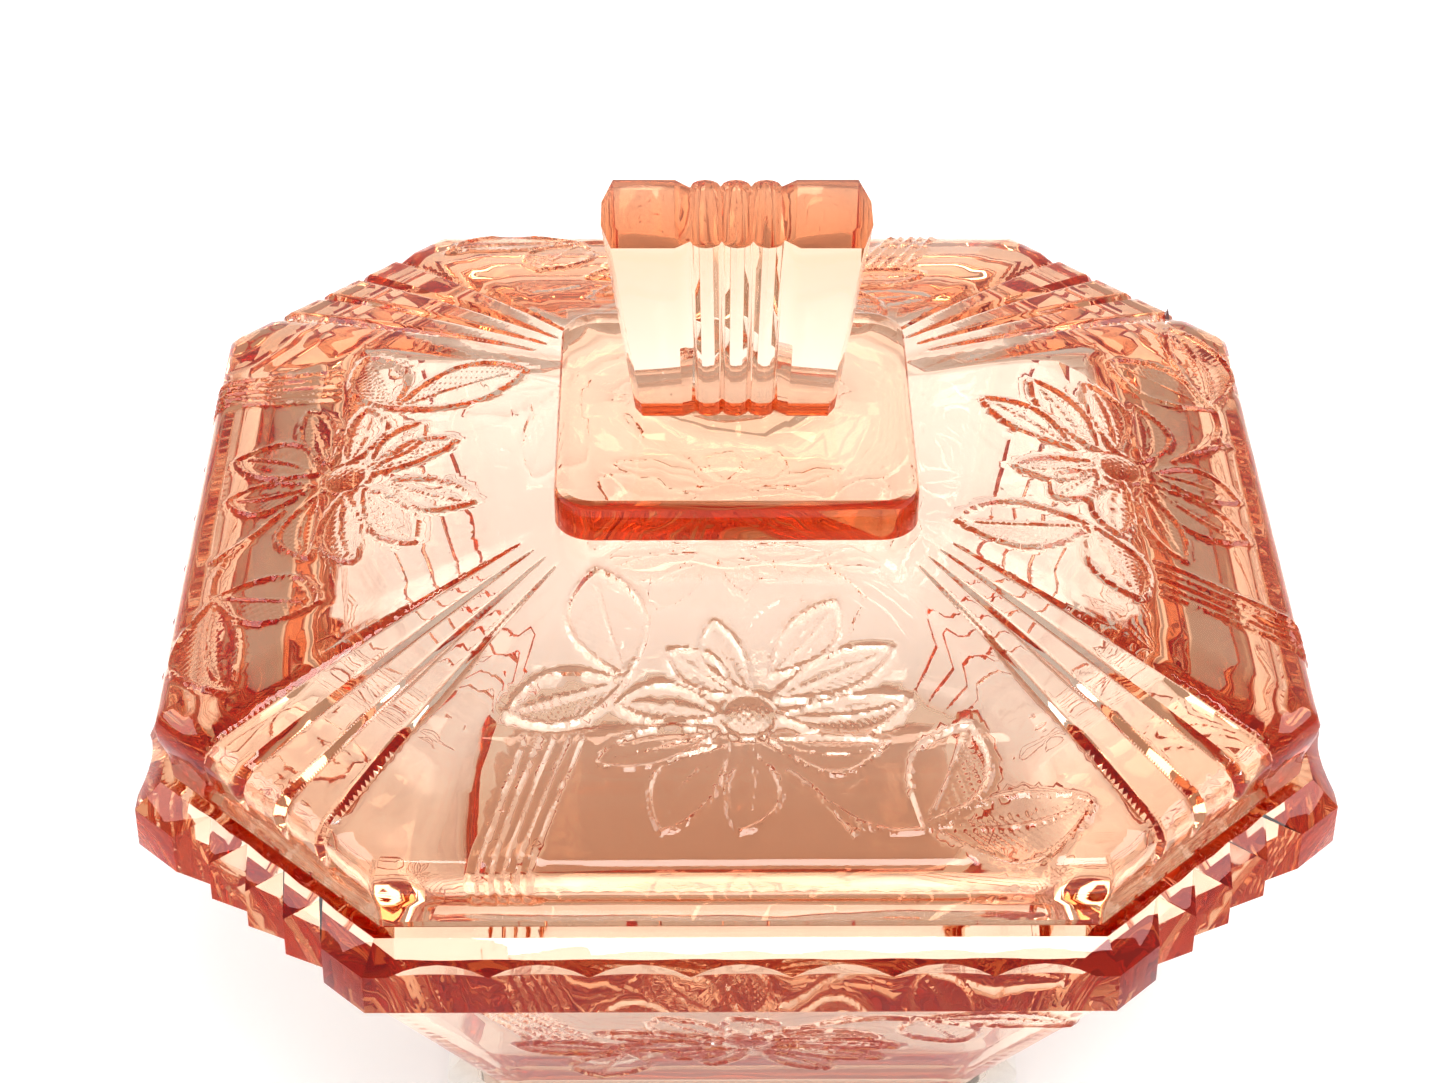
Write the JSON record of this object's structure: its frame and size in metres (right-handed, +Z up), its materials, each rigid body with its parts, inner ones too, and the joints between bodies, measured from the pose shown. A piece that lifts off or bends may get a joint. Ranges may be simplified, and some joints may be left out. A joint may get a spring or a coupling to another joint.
{
  "type": "covered candy dish",
  "caption": "Octagonal covered candy dish of pressed pink glass: deep tapered dish with a notched, fluted rim, and a lift-off lid with corner fans, a plinth and a flared fluted knob.",
  "frame": {"origin": "centre of the foot's underside, on the table", "axes": "+X along the knob's long side, +Y through its fluted faces, +Z up"},
  "size_m": [0.15, 0.15, 0.1231],
  "materials": {
    "pink_glass": "fire-polished pressed glass"
  },
  "bodies": {
    "dish": {"dish": "pink_glass"},
    "lid": {"lid": "pink_glass"}
  },
  "joints": [
    {"name": "lid_lift", "type": "slide", "parent": "dish", "child": "lid", "axis": [0, 0, 1], "range_m": [0, 0.06]}
  ]
}
